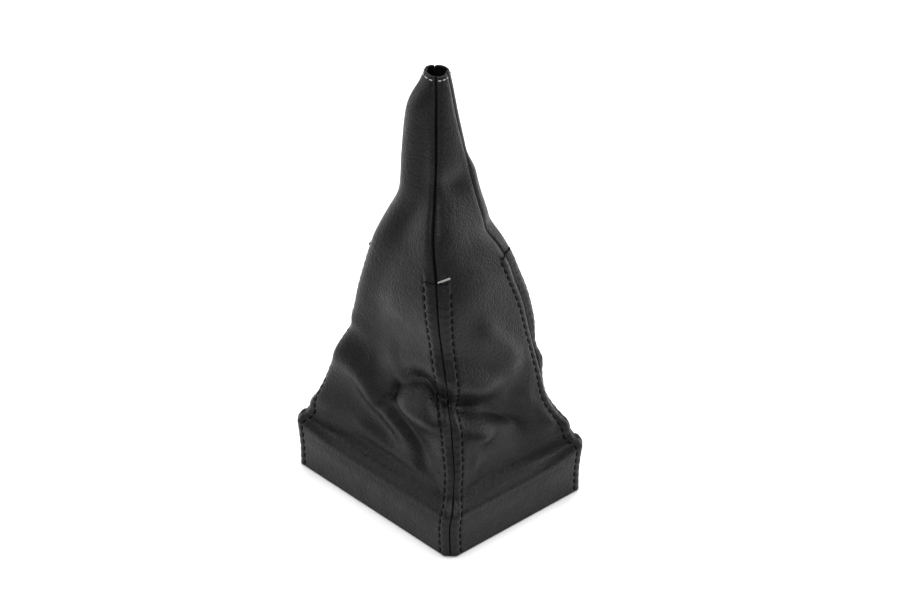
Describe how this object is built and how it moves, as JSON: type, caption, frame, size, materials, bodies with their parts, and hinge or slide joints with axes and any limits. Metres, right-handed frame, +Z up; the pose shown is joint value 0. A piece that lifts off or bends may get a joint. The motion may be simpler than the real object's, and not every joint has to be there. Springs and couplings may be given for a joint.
{
  "type": "gear lever gaiter",
  "caption": "Soft leatherette gaiter that covers the opening under a gear lever, square at the base and gathered to a narrow rim at the lever.",
  "frame": {"origin": "middle of the rectangular base, on the surface it stands on", "axes": "+Z up towards the lever end, +X along the long side of the base, +Y along the short side"},
  "size_m": [0.1341, 0.1056, 0.26],
  "materials": {
    "leatherette": "fine pebble grain, satin black",
    "black_thread": "twisted thread, matt black",
    "pale_thread": "twisted thread, matt light grey",
    "frame_plastic": "fine matt black plastic"
  },
  "bodies": {
    "root": {"panel_front_left": "leatherette", "panel_front_right": "leatherette", "panel_back_right": "leatherette", "panel_back_left": "leatherette", "topstitch_left_front": "black_thread", "topstitch_near_left": "black_thread", "topstitch_near_right": "black_thread", "topstitch_right_front": "black_thread", "topstitch_right_back": "black_thread", "topstitch_far_right": "black_thread", "topstitch_far_left": "black_thread", "topstitch_left_back": "black_thread", "bar_tack_near": "black_thread", "bar_tack_right": "black_thread", "bar_tack_far": "black_thread", "bar_tack_left": "black_thread", "seam_thread_near": "black_thread", "seam_thread_right": "black_thread", "seam_thread_far": "black_thread", "seam_thread_left": "black_thread", "thread_tail": "pale_thread", "rim_stitching": "pale_thread", "base_frame": "frame_plastic"}
  },
  "joints": []
}
